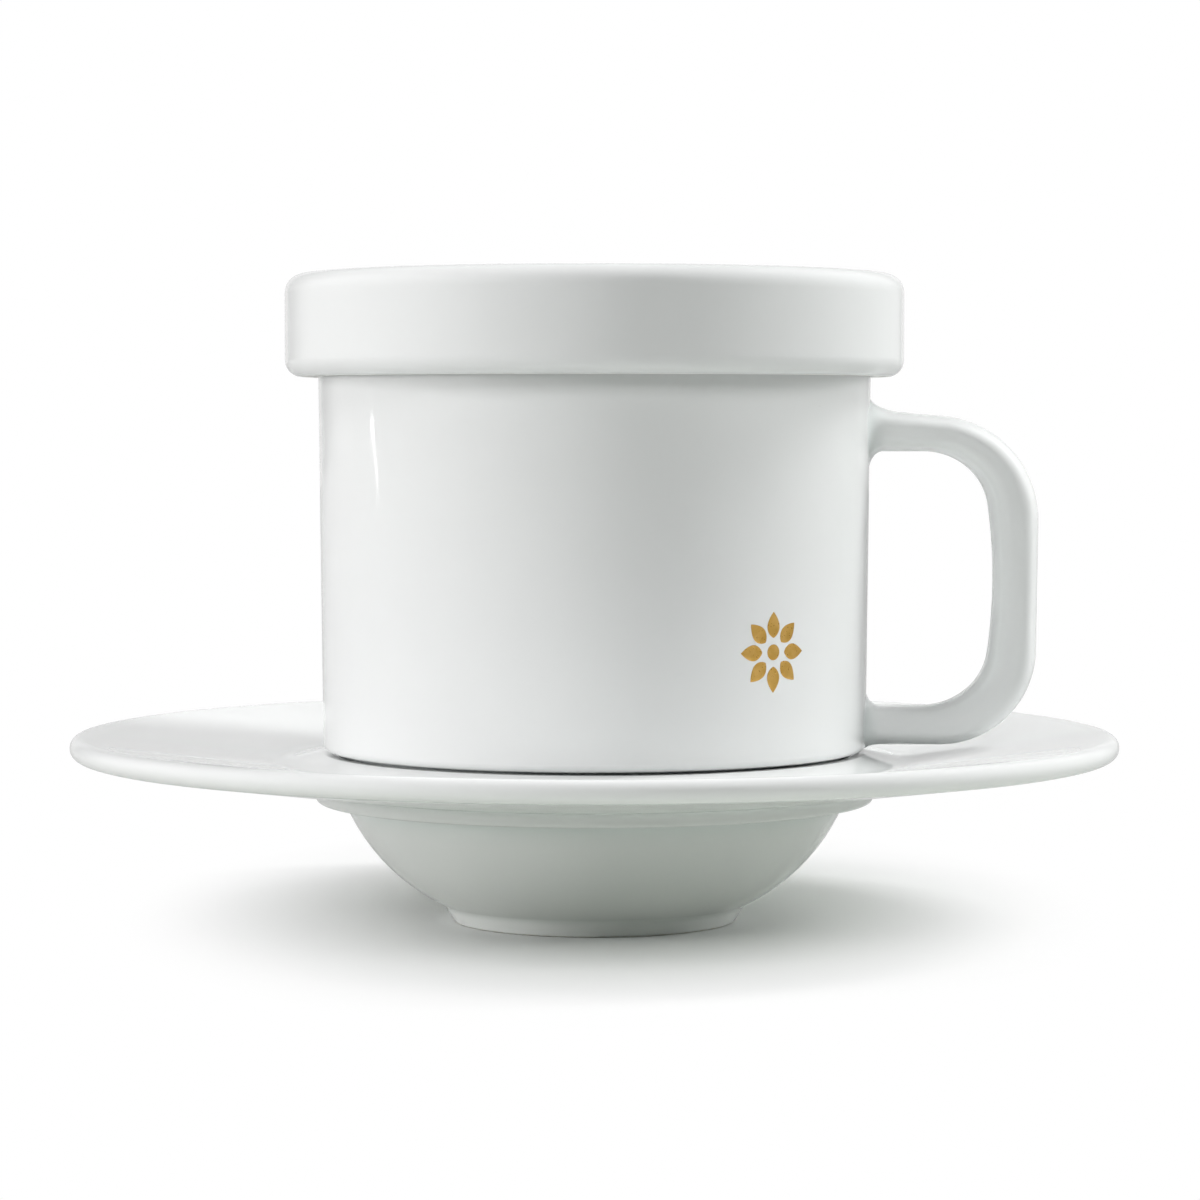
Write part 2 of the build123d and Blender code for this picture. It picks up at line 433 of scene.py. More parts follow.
@dataclass(frozen=True)
class Saucer:
    """The saucer: a tilted flange with a round lip, a collar round the cup's seat, a bowl and a foot ring."""

    radius: float
    height: float
    flange_wall: float = 0.0032
    collar_r: float = 0.0396
    collar_width: float = 0.0024
    collar_top: float = 0.02475
    valley_width: float = 0.006
    seat_floor: float = 0.02125
    step_r: float = 0.0407
    step_underside: float = 0.01765
    step_height: float = 0.00197
    bowl_mouth_r: float = 0.0366
    bowl_wall: float = 0.0036
    bowl_curve_r: float = 0.029
    bowl_neck_r: float = 0.0221
    bowl_floor: float = 0.0055
    foot_r: float = 0.0206
    foot_height: float = 0.0024
    foot_width: float = 0.0034
    foot_recess: float = 0.0019
    soft_edge: float = 0.0011
    fine_edge: float = 0.0006
    step_root: float = 0.0012
    valley_round: float = 0.009
    floor_round: float = 0.006
    neck_round: float = 0.0025
    glaze_line: float = 0.0003

    def section(self) -> Array:
        """Half section from the bowl's floor over the flange to the lip, and back below to the foot.

        The flange is a straight cone of even wall, tangent to the lip's full round of half the wall. Its
        tilt is the angle of the line from the step's root to the lip's centre, less the angle whose sine
        is the lip's round over that line's length.

        Returns:
            Points (r, z).
        """
        lip = self.flange_wall / 2.0
        lip_r = self.radius - lip
        lip_z = self.height - lip
        root_z = self.step_underside + self.step_height
        run = lip_r - self.step_r
        rise = lip_z - root_z
        tilt = math.atan2(rise, run) - math.asin(lip / math.hypot(run, rise))
        high = (lip_r - lip * math.sin(tilt), lip_z + lip * math.cos(tilt))
        low = (lip_r + lip * math.sin(tilt), lip_z - lip * math.cos(tilt))
        tip = (lip_r + lip * math.cos(tilt), lip_z + lip * math.sin(tilt))
        valley_r = self.collar_r + self.valley_width
        valley_z = high[1] - (high[0] - valley_r) * math.tan(tilt)
        bowl_lip_r = self.bowl_mouth_r - self.bowl_wall
        floor_r = self.bowl_neck_r - self.bowl_wall / 2.0
        hollow_curve = self.bowl_wall - self.bowl_curve_r
        foot_in = self.foot_r - self.foot_width
        corners = [
            Corner(0.0, self.bowl_floor),
            Corner(floor_r, self.bowl_floor, self.floor_round, hollow_curve),
            Corner(bowl_lip_r, self.seat_floor, self.soft_edge),
            Corner(self.collar_r - self.collar_width, self.seat_floor, self.fine_edge),
            Corner(self.collar_r - self.collar_width, self.collar_top, self.soft_edge),
            Corner(self.collar_r, self.collar_top, self.soft_edge),
            Corner(valley_r, valley_z, self.valley_round),
            Corner(*high, 0.0, lip),
            Corner(*tip, 0.0, lip),
            Corner(*low),
            Corner(self.step_r, root_z, self.step_root),
            Corner(self.step_r, self.step_underside, self.fine_edge),
            Corner(self.bowl_mouth_r, self.step_underside, self.fine_edge, self.bowl_curve_r),
            Corner(self.bowl_neck_r, self.foot_height, self.neck_round),
            Corner(self.foot_r, 0.0, self.fine_edge),
            Corner(foot_in, 0.0, self.fine_edge),
            Corner(foot_in, self.foot_recess, self.fine_edge),
            Corner(0.0, self.foot_recess),
        ]
        return outline(corners)

    def build(self) -> Piece:
        """Turns the section, with the foot's tread bare of glaze."""
        section = self.section()
        return turned_piece("saucer_shell", section, bare_tread(section[:, 1], self.glaze_line))


@dataclass(frozen=True)
class Cup:
    """The cup's body: a straight wall with a slight draft, a thick floor and a stepped foot ring."""

    seat_floor: float
    rim: float
    rim_r: float = 0.0403
    base_r: float = 0.0396
    step: float = 0.0251
    wall: float = 0.0034
    floor_wall: float = 0.004
    foot_r: float = 0.0365
    foot_width: float = 0.0032
    foot_recess: float = 0.0016
    rim_round: float = 0.0013
    floor_round: float = 0.007
    edge_round: float = 0.001
    fine_edge: float = 0.0005
    glaze_line: float = 0.0003

    def wall_r(self, z: Array) -> Array:
        """Radius of the outer wall at a height, on the straight line from the base to the rim."""
        return self.base_r + (self.rim_r - self.base_r) * (z - self.step) / (self.rim - self.step)

    def section(self) -> Array:
        """Half section from the floor inside, over the rim and down the wall to the foot ring.

        Returns:
            Points (r, z).
        """
        foot_in = self.foot_r - self.foot_width
        underside = self.seat_floor + self.foot_recess
        corners = [
            Corner(0.0, underside + self.floor_wall),
            Corner(self.base_r - self.wall, underside + self.floor_wall, self.floor_round),
            Corner(self.rim_r - self.wall, self.rim, self.rim_round),
            Corner(self.rim_r, self.rim, self.rim_round),
            Corner(self.base_r, self.step, self.edge_round),
            Corner(self.foot_r, self.step, self.edge_round),
            Corner(self.foot_r, self.seat_floor, self.fine_edge),
            Corner(foot_in, self.seat_floor, self.fine_edge),
            Corner(foot_in, underside, self.fine_edge),
            Corner(0.0, underside),
        ]
        return outline(corners)

    def build(self) -> Piece:
        """Turns the section, with the foot's tread bare of glaze.

        Returns:
            The cup's object.
        """
        section = self.section()
        height = section[:, 1] - self.seat_floor
        return turned_piece("cup_shell", section, bare_tread(height, self.glaze_line))


@dataclass(frozen=True)
class Lid:
    """The loose cap: a flat top with a soft shoulder and a deep skirt round the cup's rim."""

    radius: float
    bottom: float
    top: float
    ceiling: float
    wall: float = 0.0035
    shoulder_round: float = 0.0027
    edge_round: float = 0.0024
    inner_round: float = 0.001
    ceiling_round: float = 0.002
    dish: float = 0.0002
    glaze_line: float = 0.0004

    def section(self) -> Array:
        """Half section from the top's middle over the shoulder, round the skirt and back under the ceiling.

        The top sinks from the shoulder to the middle by the dish, as one minus the squared share of the
        radius, squared.

        Returns:
            Points (r, z).
        """
        bore = self.radius - self.wall
        corners = [
            Corner(0.0, self.top),
            Corner(self.radius, self.top, self.shoulder_round),
            Corner(self.radius, self.bottom, self.edge_round),
            Corner(bore, self.bottom, self.inner_round),
            Corner(bore, self.ceiling, self.ceiling_round),
            Corner(0.0, self.ceiling),
        ]
        points = outline(corners)
        share = np.clip(points[:, 0] / (self.radius - self.shoulder_round), 0.0, 1.0)
        above = points[:, 1] > (self.top + self.ceiling) / 2.0
        points[:, 1] -= above * self.dish * (1.0 - share**2) ** 2
        return points

    def build(self) -> Piece:
        """Turns the section, with a bare ring inside the lower edge, on which the lid is fired.

        Returns:
            The lid's object.
        """
        section = self.section()
        bore = self.radius - self.wall
        near = np.hypot(section[:, 0] - bore - self.inner_round, section[:, 1] - self.bottom)
        return turned_piece("lid_cap", section, bare_tread(near, 2.0 * self.glaze_line))


@dataclass(frozen=True)
class Handle:
    """The loop handle: a flat bar with bowed edges, bent from the cup's upper wall to its base.

    Each flare is the length and the height of the hollow round where the bar meets the wall.
    """

    cup: Cup
    reach: float
    depth: float = 0.011
    ridge: float = 0.00087
    lean: float = 0.0006
    top: float = 0.07475
    top_drop: float = 0.0022
    top_bar: float = 0.00618
    grip_bar: float = 0.00675
    low_bar: float = 0.0058
    low: float = 0.0257
    outer_rounds: tuple[float, float] = (0.0153, 0.014)
    inner_round: float = 0.0102
    inner_arc: float = 0.075
    outer_bow: float = 0.0018
    inner_bow: float = 0.0013
    edge_round: float = 0.0023
    top_flare: tuple[float, float] = (0.0042, 0.0017)
    inner_flare: tuple[float, float] = (0.0024, 0.0032)
    side_flare: tuple[float, float] = (0.0024, 0.0022)
    low_flare: tuple[float, float] = (0.002, 0.0005)
    sunk: float = 0.0006
    wall_follow: float = 0.006
    rail_points: tuple[int, int, int] = (48, 36, 48)
    rail_bend_points: int = 36
    edge_step: float = 0.0006
    edge_points: int = 7

    def rails(self) -> tuple[Array, Array]:
        """Outer and inner edge of the loop in the XZ plane, from the upper to the lower root.

        Both have the same number of points on each stretch and bend, so that they pair up. The inner edge
        of the grip is an arc, whose rise over the half chord h is its radius less the root of radius
        squared minus h squared.

        Returns:
            Two arrays of points (x, z).
        """
        reach = self.reach + self.ridge
        inner_top = self.top - self.top_bar
        inner_low = self.low + self.low_bar
        chord = (inner_top - inner_low) / 2.0
        grip = reach - self.grip_bar - self.inner_arc + math.sqrt(self.inner_arc**2 - chord**2)
        root = float(self.cup.wall_r(np.array(self.low))) - self.sunk
        root_top = float(self.cup.wall_r(np.array(self.top))) - self.sunk
        outer = [
            Corner(root_top, self.top),
            Corner(reach, self.top - self.top_drop, self.outer_rounds[0]),
            Corner(reach - self.lean, self.low, self.outer_rounds[1]),
            Corner(root, self.low),
        ]
        inner = [
            Corner(root_top, inner_top),
            Corner(grip, inner_top, self.inner_round, self.inner_arc),
            Corner(grip, inner_low, self.inner_round),
            Corner(root, inner_low),
        ]
        fineness = {"bend_points": self.rail_bend_points, "counts": self.rail_points}
        return outline(outer, **fineness), outline(inner, **fineness)

    def flared(self, gap: Array, flare: tuple[float, float]) -> Array:
        """Width added near the wall, on a quarter ellipse.

        Args:
            gap: distances from the wall.
            flare: length and height of the ellipse.

        Returns:
            Array of widths, one a distance.
        """
        length, height = flare
        rest = np.clip(1.0 - gap / length, 0.0, 1.0)
        return height * (1.0 - np.sqrt(1.0 - rest**2))

    def bar_section(self) -> Array:
        """Closed section of the grip: flat sides, with an inner and an outer face that bow to a ridge.

        A bow of height b over the half depth d is an arc of radius (d squared plus b squared) / 2 b.

        Returns:
            Points (across, deep), with across pointing out of the loop.
        """
        half = self.grip_bar / 2.0
        deep = self.depth / 2.0
        arcs = [(deep * deep + bow * bow) / (2.0 * bow) for bow in (self.outer_bow, self.inner_bow)]
        corners = [
            Corner(half, 0.0, 0.0, -arcs[0]),
            Corner(half - self.outer_bow, deep, self.edge_round),
            Corner(self.inner_bow - half, deep, self.edge_round, -arcs[1]),
            Corner(-half, 0.0),
        ]
        front = outline(corners, step=self.edge_step, bend_points=self.edge_points)
        return np.concatenate([front, front[-2:0:-1] * (1.0, -1.0)])

    def build(self) -> Piece:
        """Carries the bar's section along the loop.

        Station i has its middle halfway between the paired rail points, and its across direction runs
        from the inner to the outer rail. There the section is stretched to the bar's inner, outer and
        side reach. Near the wall the bar widens as a hollow round, and its points follow the wall's
        curve: x loses the wall's radius less its chord at that depth.

        Returns:
            The handle's object.
        """
        outer, inner = self.rails()
        middle = (outer + inner) / 2.0
        across = outer - inner
        half = np.hypot(across[:, 0], across[:, 1]) / 2.0
        across = across / (2.0 * half[:, None])
        wall = self.cup.wall_r(middle[:, 1])
        gap = np.clip(middle[:, 0] - wall, 0.0, None)
        upper = middle[:, 1] > (self.top + self.low) / 2.0
        inside = half + self.flared(gap, self.inner_flare)
        outside = half + np.where(upper, self.flared(gap, self.top_flare), self.flared(gap, self.low_flare))
        beside = self.depth / 2.0 + self.flared(gap, self.side_flare)
        shape = self.bar_section() / (self.grip_bar / 2.0, self.depth / 2.0)
        over = shape[:, 0] * np.where(shape[:, 0] > 0.0, outside[:, None], inside[:, None])
        deep = shape[:, 1] * beside[:, None]
        x = middle[:, :1] + across[:, :1] * over
        z = middle[:, 1:] + across[:, 1:] * over
        follow = 1.0 - smooth_step(0.0, self.wall_follow, gap)
        x -= follow[:, None] * (wall[:, None] - np.sqrt(wall[:, None] ** 2 - deep**2))
        rings = np.stack([x, deep, z], axis=-1)
        pooled = np.repeat(1.0 - smooth_step(0.0, self.side_flare[0], gap), rings.shape[1])
        pooled = np.concatenate([pooled, pooled[[0, -1]]])
        return put_mesh("handle_loop", *tube_mesh(rings), {Mark.POOLED: pooled})


@dataclass(frozen=True)
class Rosette:
    """The gilt rosette on the cup's wall: eight pointed petals round an eye, in thin raised gilding.

    Each grid is the number of rings and of points round a ring. The ends keep clear of a width of 0.
    """

    cup: Cup
    turn: float = math.radians(38.5)
    height: float = 0.0411
    radius: float = 0.0056
    petals: int = 8
    petal_length: float = 0.0036
    petal_half_width: float = 0.00112
    eye_r: float = 0.0011
    crown: float = 0.00011
    sunk: float = 0.00006
    lead_power: float = 0.8
    full_power: float = 0.85
    petal_grid: tuple[int, int] = (40, 24)
    petal_end_share: float = 0.004
    eye_grid: tuple[int, int] = (24, 32)
    eye_end_angle: float = 0.02

    def on_wall(self, aside: Array, above: Array, proud: Array) -> Array:
        """Wraps flat places onto the wall: aside is arc length round it, above is height, proud is radial.

        Args:
            aside: distance to the right of the rosette's middle.
            above: distance above it.
            proud: distance out of the wall.

        Returns:
            Points (x, y, z) along a new last axis.
        """
        z = np.broadcast_to(self.height + above, aside.shape)
        wall = self.cup.wall_r(z)
        angle = self.turn + aside / wall
        r = wall + proud
        return np.stack([r * np.sin(angle), -r * np.cos(angle), z], axis=-1)

    def lift(self, angle: Array) -> Array:
        """Distance out of the wall round a ring: the sine, times the crown above and the sunk depth below."""
        return np.where(np.sin(angle) > 0.0, self.crown, self.sunk) * np.sin(angle)

    def petal_rings(self, petal: int) -> Array:
        """Rings along one petal.

        At the share t of its length the width is the sine of pi times t to the lead power, raised to the
        full power. Each ring is an ellipse, as wide as the petal there, that stands proud by the crown and
        is sunk a little into the glaze.

        Args:
            petal: number of the petal.

        Returns:
            Array of (station, point round the ring, xyz).
        """
        stations, points = self.petal_grid
        t = np.linspace(0.0, 1.0, stations)[:, None]
        round_ring = np.linspace(0.0, 2.0 * math.pi, points, endpoint=False)
        clear = np.clip(t, self.petal_end_share, 1.0 - self.petal_end_share)
        width = np.sin(math.pi * clear**self.lead_power) ** self.full_power
        out = self.radius - self.petal_length * (1.0 - t)
        aside = self.petal_half_width * width * np.cos(round_ring)
        angle = 2.0 * math.pi * petal / self.petals
        right = out * math.sin(angle) + aside * math.cos(angle)
        above = out * math.cos(angle) - aside * math.sin(angle)
        return self.on_wall(right, above, self.lift(round_ring) * np.sqrt(width))

    def eye_rings(self) -> Array:
        """Rings of the eye, a low dome: half width the sine and place the cosine of the way across it.

        Returns:
            Array of (station, point round the ring, xyz).
        """
        stations, points = self.eye_grid
        t = np.linspace(self.eye_end_angle, math.pi - self.eye_end_angle, stations)[:, None]
        round_ring = np.linspace(0.0, 2.0 * math.pi, points, endpoint=False)
        right = self.eye_r * np.sin(t) * np.cos(round_ring)
        return self.on_wall(right, self.eye_r * np.cos(t), self.lift(round_ring) * np.sqrt(np.sin(t)))

    def build(self) -> Piece:
        """Joins the petals and the eye into one object.

        Returns:
            The rosette's object.
        """
        vertices, quads, triangles, start = [], [], [], 0
        for rings in [self.petal_rings(n) for n in range(self.petals)] + [self.eye_rings()]:
            points, fours, threes = tube_mesh(rings)
            vertices.append(points)
            quads.append(fours + start)
            triangles.append(threes + start)
            start += len(points)
        joined = (np.concatenate(rows) for rows in (vertices, quads, triangles))
        return put_mesh("rosette_gilt", *joined, {})


class Nodes:
    """Places nodes in a tree and joins their sockets by name."""

    def __init__(self, tree: Tree) -> None:
        """Keeps the tree and starts a row of node places."""
        self.tree = tree
        self.count = 0

    def add(self, kind: str, **inputs: object) -> bpy.types.Node:
        """Adds a node and sets or joins its inputs.

        Args:
            kind: Blender's name of the node type.
            inputs: a value or an output socket for each input, with underscores for spaces.

        Returns:
            The new node.
        """
        node = self.tree.nodes.new(kind)
        node.location = (NODE_SPACING * self.count, 0.0)
        self.count += 1
        for name, value in inputs.items():
            self.feed(node.inputs[name.replace("_", " ")], value)
        return node

    def feed(self, socket: Socket, value: object) -> None:
        """Joins an output to a socket, or sets the socket's own value.

        Args:
            socket: input socket.
            value: output socket or plain value.
        """
        if isinstance(value, Socket):
            self.tree.links.new(value, socket)
        else:
            socket.default_value = value

    def math(self, operation: str, first: object, second: object) -> Socket:
        """Output of a Math node on two values or sockets.

        Args:
            operation: Blender's name of the operation.
            first: first value or socket.
            second: second value or socket.

        Returns:
            The result's socket.
        """
        node = self.add("ShaderNodeMath")
        node.operation = operation
        self.feed(node.inputs[0], first)
        self.feed(node.inputs[1], second)
        return node.outputs[0]

    def mixed(self, kind: MixKind, share: object, low: object, high: object) -> Socket:
        """Output of a Mix node between low and high.

        Args:
            kind: what is mixed.
            share: share of high, a value or a socket.
            low: value or socket at share 0.
            high: value or socket at share 1.

        Returns:
            The result's socket.
        """
        data_type, low_input, high_input, output = kind.value
        node = self.add("ShaderNodeMix", Factor=share)
        node.data_type = data_type
        self.feed(node.inputs[low_input], low)
        self.feed(node.inputs[high_input], high)
        return node.outputs[output]

    def blend(self, share: object, low: object, high: object) -> Socket:
        """Colour between low and high by a share."""
        return self.mixed(MixKind.COLOUR, share, low, high)

    def mix(self, share: object, low: object, high: object) -> Socket:
        """Number between low and high by a share."""
        return self.mixed(MixKind.NUMBER, share, low, high)

    def length(self, vector: Socket) -> Socket:
        """Length of a vector.

        Args:
            vector: the vector's socket.

        Returns:
            The length's socket.
        """
        node = self.add("ShaderNodeVectorMath", Vector=vector)
        node.operation = "LENGTH"
        return node.outputs["Value"]

    def rise(self, value: object, start: float, end: float) -> Socket:
        """Smooth step of a value, 0 up to the start and 1 from the end.

        Args:
            value: value or socket.
            start: where the step starts.
            end: where it ends.

        Returns:
            The step's socket.
        """
        node = self.add("ShaderNodeMapRange", Value=value, From_Min=start, From_Max=end)
        node.interpolation_type = "SMOOTHSTEP"
        return node.outputs["Result"]

    def group(self, tree: Tree, **inputs: object) -> Socket:
        """First output of a node group with its inputs set or joined.

        Args:
            tree: the group.
            inputs: a value or an output socket for each input.

        Returns:
            The output's socket.
        """
        node = self.add("ShaderNodeGroup")
        node.node_tree = tree
        for name, value in inputs.items():
            self.feed(node.inputs[name], value)
        return node.outputs[0]

    def mark(self, mark: Mark) -> Socket:
        """Value of a surface mark.

        Args:
            mark: the mark.

        Returns:
            The value's socket.
        """
        node = self.add("ShaderNodeAttribute")
        node.attribute_name = mark.value
        return node.outputs["Fac"]

    def coat(self, **inputs: object) -> None:
        """Ends a material with a Principled shader that has the given inputs."""
        shader = self.add("ShaderNodeBsdfPrincipled", **inputs)
        self.add("ShaderNodeOutputMaterial", Surface=shader.outputs["BSDF"])


def new_group(name: str, *numbers: str) -> tuple[Tree, Nodes, bpy.types.NodeOutputs]:
    """Starts a shader node group from a place, the input Vector, and some numbers to one value.

    Args:
        name: name of the group.
        numbers: names of the number inputs.

    Returns:
        The tree, its node helper and the sockets that carry its inputs.
    """
    tree = bpy.data.node_groups.new(name, "ShaderNodeTree")
    tree.interface.new_socket("Vector", in_out="INPUT", socket_type="NodeSocketVector")
    for label in numbers:
        tree.interface.new_socket(label, in_out="INPUT", socket_type="NodeSocketFloat")
    tree.interface.new_socket("Value", in_out="OUTPUT", socket_type="NodeSocketFloat")
    nodes = Nodes(tree)
    return tree, nodes, nodes.add("NodeGroupInput").outputs


def mottle_group() -> Tree:
    """Soft cloudy variation: noise at a scale, spread between a low and a high value.

    Returns:
        The node group.
    """
    tree, nodes, given = new_group("soft_mottle", "Scale", "Detail", "Low", "High")
    noise = nodes.add(
        "ShaderNodeTexNoise", Vector=given["Vector"], Scale=given["Scale"], Detail=given["Detail"]
    )
    spread = nodes.add(
        "ShaderNodeMapRange",
        Value=noise.outputs["Fac"],
        From_Min=NOISE_RANGE[0],
        From_Max=NOISE_RANGE[1],
        To_Min=given["Low"],
        To_Max=given["High"],
    )
    nodes.add("NodeGroupOutput", Value=spread.outputs["Result"])
    return tree


def speck_group() -> Tree:
    """Sparse pin specks: dots at the cell points of a Voronoi field, kept in a share of the cells.

    Returns:
        The node group.
    """
    tree, nodes, given = new_group("pin_specks", "Scale", "Share", "Size")
    cells = nodes.add("ShaderNodeTexVoronoi", Vector=given["Vector"], Scale=given["Scale"])
    chance = nodes.add("ShaderNodeSeparateColor", Color=cells.outputs["Color"])
    kept = nodes.math("LESS_THAN", chance.outputs["Red"], given["Share"])
    reach = nodes.math("MULTIPLY", given["Size"], chance.outputs["Green"])
    dot = nodes.add(
        "ShaderNodeMapRange", Value=cells.outputs["Distance"], From_Max=reach, To_Min=1.0, To_Max=0.0
    )
    nodes.add("NodeGroupOutput", Value=nodes.math("MULTIPLY", kept, dot.outputs["Result"]))
    return tree


@dataclass(frozen=True)
class Mottle:
    """A soft mottle: the scale and the detail of its noise, and the values that it runs between."""

    scale: float
    detail: float
    low: float = 0.0
    high: float = 1.0


@dataclass(frozen=True)
class Specks:
    """Pin specks: the scale of their cells, the share of cells that have one, and its size in a cell."""

    scale: float
    share: float
    size: float


@dataclass(frozen=True)
class Effects:
    """The node groups that the finishes share."""

    mottle_tree: Tree
    speck_tree: Tree

    def mottle(self, nodes: Nodes, place: Socket, look: Mottle) -> Socket:
        """Adds a mottle to a finish.

        Args:
            nodes: node helper of the material.
            place: socket of the place on the piece.
            look: the mottle.

        Returns:
            The mottle's socket.
        """
        numbers = {"Scale": look.scale, "Detail": look.detail, "Low": look.low, "High": look.high}
        return nodes.group(self.mottle_tree, Vector=place, **numbers)

    def specks(self, nodes: Nodes, place: Socket, look: Specks) -> Socket:
        """Adds specks to a finish.

        Args:
            nodes: node helper of the material.
            place: socket of the place on the piece.
            look: the specks.

        Returns:
            The specks' socket.
        """
        numbers = {"Scale": look.scale, "Share": look.share, "Size": look.size}
        return nodes.group(self.speck_tree, Vector=place, **numbers)


def rgba(colour: Colour) -> tuple[float, float, float, float]:
    """A colour with full cover."""
    return (*colour, 1.0)


def new_material(name: str) -> tuple[Material, Nodes, Socket]:
    """Starts a node material.

    Args:
        name: name of the material.

    Returns:
        The material, its node helper and the socket of the place on the piece.
    """
    material = bpy.data.materials.new(name)
    material.use_nodes = True
    material.node_tree.nodes.clear()
    nodes = Nodes(material.node_tree)
    return material, nodes, nodes.add("ShaderNodeTexCoord").outputs["Object"]


@dataclass(frozen=True)
class Porcelain:
    """Clear gloss glaze over white porcelain, with pooled glaze in hollows and bare treads.

    The shift moves the place in the noise, so that saucer, cup and lid differ.
    """

    name: str
    shift: Point
    white: Colour = (0.83, 0.845, 0.84)
    milk: Colour = (0.852, 0.866, 0.861)
    pool: Colour = (0.72, 0.79, 0.775)
    speck: Colour = (0.42, 0.39, 0.34)
    clay: Colour = (0.72, 0.69, 0.64)
    cloud: Mottle = Mottle(38.0, 3.0)
    specks: Specks = Specks(170.0, 0.035, 0.045)
    grit: Mottle = Mottle(900.0, 4.0)
    gloss: Mottle = Mottle(70.0, 2.0, 0.03, 0.07)
    wave: Mottle = Mottle(14.0, 1.0)
    peel: Mottle = Mottle(520.0, 2.0, 0.0, 0.02)
    pool_cover: float = 0.5
    speck_cover: float = 0.6
    bare_roughness: float = 0.7
    index: float = 1.5
    relief: float = 0.00002
    relief_strength: float = 0.3

    def material(self, effects: Effects) -> Material:
        """Builds the finish.

        The colour goes from white to milk by a soft mottle, towards the pool colour in hollows, to the
        speck colour at pin specks and to clay where the body is bare. Long low waves and a fine peel
        bend the gloss a little.

        Args:
            effects: shared node groups.

        Returns:
            The material.
        """
        material, nodes, place = new_material(self.name)
        place = nodes.add("ShaderNodeMapping", Vector=place, Location=self.shift).outputs["Vector"]
        looks = (self.cloud, self.grit, self.gloss, self.wave, self.peel)
        cloud, grit, gloss, wave, peel = (effects.mottle(nodes, place, look) for look in looks)
        specks = nodes.math("MULTIPLY", effects.specks(nodes, place, self.specks), self.speck_cover)
        pooled = nodes.math("MULTIPLY", nodes.mark(Mark.POOLED), self.pool_cover)
        bare = nodes.mark(Mark.BARE)
        colour = nodes.blend(cloud, rgba(self.white), rgba(self.milk))
        colour = nodes.blend(pooled, colour, rgba(self.pool))
        colour = nodes.blend(specks, colour, rgba(self.speck))
        colour = nodes.blend(bare, colour, nodes.blend(grit, rgba(self.clay), rgba(self.white)))
        height = nodes.math("ADD", nodes.math("ADD", wave, peel), nodes.math("MULTIPLY", grit, bare))
        bump = nodes.add(
            "ShaderNodeBump", Strength=self.relief_strength, Distance=self.relief, Height=height
        )
        nodes.coat(
            Base_Color=colour,
            Roughness=nodes.mix(bare, gloss, self.bare_roughness),
            IOR=self.index,
            Normal=bump.outputs["Normal"],
        )
        return material


@dataclass(frozen=True)
class Gilding:
    """Burnished gilding fired over the glaze, with soft tone changes and tiny pits."""

    name: str = "rosette_gold"
    gold: Colour = (0.6, 0.35, 0.075)
    pale: Colour = (0.72, 0.45, 0.13)
    pit: Colour = (0.2, 0.1, 0.02)
    cloud: Mottle = Mottle(600.0, 3.0)
    pits: Specks = Specks(2200.0, 0.12, 0.4)
    rub: Mottle = Mottle(2600.0, 2.0, 0.26, 0.42)
    pit_cover: float = 0.8
    relief: float = 0.00003
    relief_strength: float = 0.2

    def material(self, effects: Effects) -> Material:
        """Builds the finish: gold to pale gold by a soft mottle, darker at pits, with uneven gloss.

        Args:
            effects: shared node groups.

        Returns:
            The material.
        """
        material, nodes, place = new_material(self.name)
        cloud = effects.mottle(nodes, place, self.cloud)
        pits = nodes.math("MULTIPLY", effects.specks(nodes, place, self.pits), self.pit_cover)
        colour = nodes.blend(cloud, rgba(self.gold), rgba(self.pale))
        colour = nodes.blend(pits, colour, rgba(self.pit))
        bump = nodes.add("ShaderNodeBump", Strength=self.relief_strength, Distance=self.relief, Height=cloud)
        nodes.coat(
            Base_Color=colour,
            Metallic=1.0,
            Roughness=effects.mottle(nodes, place, self.rub),
            Normal=bump.outputs["Normal"],
        )
        return material


